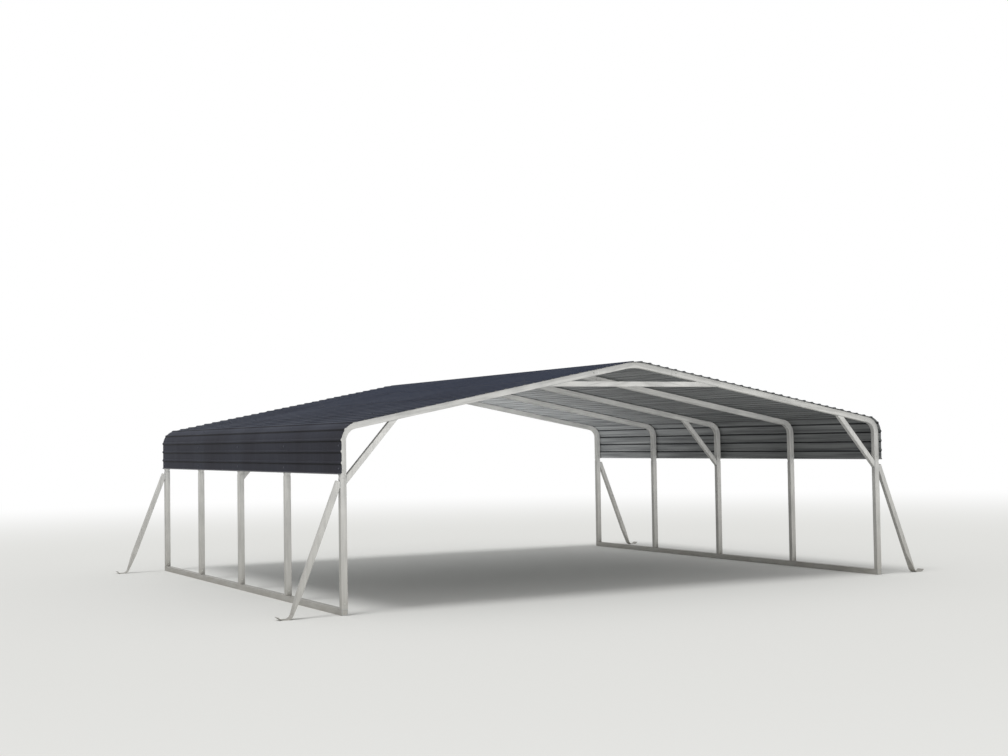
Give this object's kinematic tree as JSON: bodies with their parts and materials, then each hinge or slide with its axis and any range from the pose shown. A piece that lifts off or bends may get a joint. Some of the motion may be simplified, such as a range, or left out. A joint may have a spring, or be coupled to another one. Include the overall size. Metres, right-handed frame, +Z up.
{
  "type": "carport",
  "caption": "Open steel carport: ribbed sheets bent over the eaves of bent square-tube frames, with base rails, knee braces and corner outriggers.",
  "frame": {"origin": "on the ground, at the centre of the footprint", "axes": "+X to the right side, +Y from the front end to the back end along the ridge, +Z up"},
  "size_m": [7.229, 6.096, 2.2515],
  "materials": {
    "galvanised_tube": "matt galvanised",
    "roof_sheet": "satin charcoal outside, pale galvanised grey inside"
  },
  "bodies": {
    "root": {"left_base_rail": "galvanised_tube", "left_leg_1": "galvanised_tube", "left_leg_2": "galvanised_tube", "left_leg_3": "galvanised_tube", "left_leg_4": "galvanised_tube", "left_leg_5": "galvanised_tube", "left_rafter_1": "galvanised_tube", "left_rafter_2": "galvanised_tube", "left_rafter_3": "galvanised_tube", "left_rafter_4": "galvanised_tube", "left_rafter_5": "galvanised_tube", "left_front_outrigger": "galvanised_tube", "left_back_outrigger": "galvanised_tube", "right_base_rail": "galvanised_tube", "right_leg_1": "galvanised_tube", "right_leg_2": "galvanised_tube", "right_leg_3": "galvanised_tube", "right_leg_4": "galvanised_tube", "right_leg_5": "galvanised_tube", "right_rafter_1": "galvanised_tube", "right_rafter_2": "galvanised_tube", "right_rafter_3": "galvanised_tube", "right_rafter_4": "galvanised_tube", "right_rafter_5": "galvanised_tube", "right_front_outrigger": "galvanised_tube", "right_back_outrigger": "galvanised_tube", "peak_bend_1": "galvanised_tube", "peak_bend_2": "galvanised_tube", "peak_bend_3": "galvanised_tube", "peak_bend_4": "galvanised_tube", "peak_bend_5": "galvanised_tube", "front_knee_braces": "galvanised_tube", "middle_knee_braces": "galvanised_tube", "front_collar_tie": "galvanised_tube", "back_collar_tie": "galvanised_tube", "left_eave_sheet": "roof_sheet", "left_lower_slope_sheet": "roof_sheet", "left_middle_slope_sheet": "roof_sheet", "left_upper_slope_sheet": "roof_sheet", "right_eave_sheet": "roof_sheet", "right_lower_slope_sheet": "roof_sheet", "right_middle_slope_sheet": "roof_sheet", "right_upper_slope_sheet": "roof_sheet", "ridge_sheet": "roof_sheet"}
  },
  "joints": []
}
